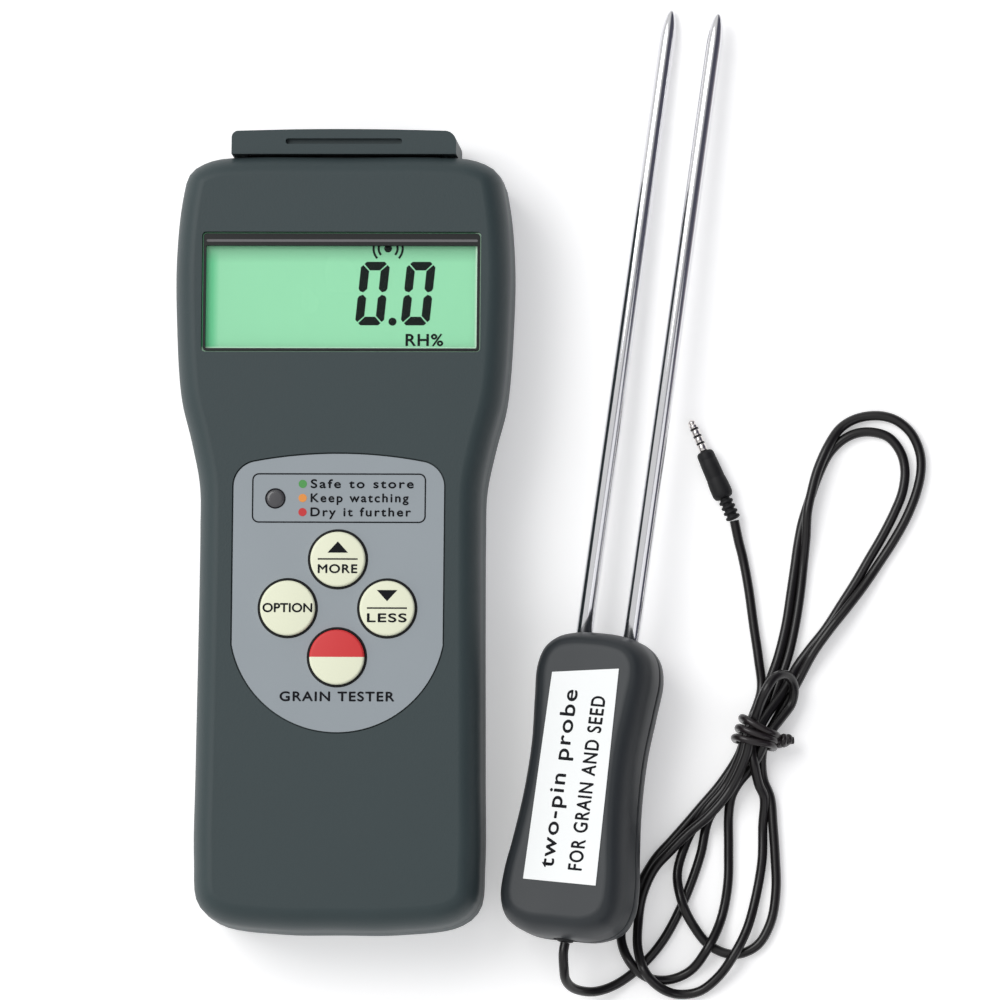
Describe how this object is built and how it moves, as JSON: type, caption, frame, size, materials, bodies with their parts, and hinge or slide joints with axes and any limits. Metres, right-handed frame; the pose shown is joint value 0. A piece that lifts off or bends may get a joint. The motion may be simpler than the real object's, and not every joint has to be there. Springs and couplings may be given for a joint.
{
  "type": "grain moisture meter",
  "caption": "Hand-held meter with display and round keys, lying beside its two-pin probe, whose looped and tied lead ends in a small jack plug.",
  "frame": {"origin": "centre of the meter's back face", "axes": "+Y towards the meter's display end, +Z out of its face, +X to the right as its display is read"},
  "size_m": [0.1538, 0.2051, 0.027],
  "materials": {
    "casing": "fine moulded texture, semi-matt",
    "grip": "smooth semi-matt moulding",
    "panel": "printed matt face sheet",
    "keys": "cream silicone-feel caps with printed signs",
    "power_key": "red and cream printed cap",
    "rubber": "black rubber",
    "window": "clear polished cover",
    "display": "green liquid crystal display",
    "frame": "dark matt surround",
    "lens": "smoked lamp window",
    "board": "green circuit board",
    "chip": "black moulded component",
    "cell": "wrapped cell",
    "contact": "sprung contact strip",
    "screw": "plated steel screw",
    "pin": "polished steel",
    "label": "white paper label or pale moulding",
    "lead": "black flexible jacket, slightly glossy",
    "plug_metal": "nickel-plated contact"
  },
  "bodies": {
    "meter": {"rear_shell": "casing", "front_shell": "casing", "probe_socket": "rubber", "display_connector": "rubber", "keypad_mat": "rubber", "display_frame": "frame", "display_window": "window", "display_glass": "display", "backlight_panel": "label", "status_lamp": "label", "keypad_panel": "panel", "hold_switch": "chip", "select_switch": "chip", "zero_switch": "chip", "power_switch": "chip", "main_board": "board", "control_chip": "chip", "buzzer": "chip", "status_lens": "lens", "board_screw_1": "screw", "board_screw_2": "screw", "case_screw_1": "screw", "case_screw_2": "screw", "case_screw_3": "screw", "case_screw_4": "screw", "battery_1": "cell", "battery_2": "cell", "battery_3": "cell", "battery_4": "cell", "battery_contact_upper": "contact", "battery_contact_lower": "contact"},
    "battery_door": {"battery_door": "casing"},
    "end_cap": {"end_cap": "casing"},
    "hold_key": {"hold_key": "keys"},
    "select_key": {"select_key": "keys"},
    "zero_key": {"zero_key": "keys"},
    "power_key": {"power_key": "power_key"},
    "probe": {"handle_front_shell": "grip", "handle_rear_shell": "grip", "probe_label": "label", "pin_clamp": "label", "pin_left": "pin", "pin_right": "pin", "clamp_screw_left": "screw", "clamp_screw_right": "screw", "handle_screw_upper": "screw", "handle_screw_lower": "screw", "terminal_board": "board", "cord_gland": "rubber", "lead_tie": "rubber", "plug_relief": "rubber", "plug_body": "rubber", "plug_core": "rubber", "lead": "lead", "plug_sleeve": "plug_metal", "plug_ring_1": "plug_metal", "plug_ring_2": "plug_metal", "plug_tip": "plug_metal"}
  },
  "joints": [
    {"name": "hold_key_press", "type": "slide", "parent": "meter", "child": "hold_key", "axis": [0, 0, -1], "range_m": [0, 0.0005], "stiffness_N_per_m": 800, "springref_m": -0.0005},
    {"name": "select_key_press", "type": "slide", "parent": "meter", "child": "select_key", "axis": [0, 0, -1], "range_m": [0, 0.0005], "stiffness_N_per_m": 800, "springref_m": -0.0005},
    {"name": "zero_key_press", "type": "slide", "parent": "meter", "child": "zero_key", "axis": [0, 0, -1], "range_m": [0, 0.0005], "stiffness_N_per_m": 800, "springref_m": -0.0005},
    {"name": "power_key_press", "type": "slide", "parent": "meter", "child": "power_key", "axis": [0, 0, -1], "range_m": [0, 0.0005], "stiffness_N_per_m": 800, "springref_m": -0.0005},
    {"name": "end_cap_pull", "type": "slide", "parent": "meter", "child": "end_cap", "axis": [0, 1, 0], "range_m": [0, 0.02]},
    {"name": "battery_door_slide", "type": "slide", "parent": "meter", "child": "battery_door", "axis": [0, -1, 0], "range_m": [0, 0.045]},
    {"name": "probe_lift", "type": "slide", "parent": "meter", "child": "probe", "axis": [0, 0, 1], "range_m": [0, 0.12]}
  ]
}
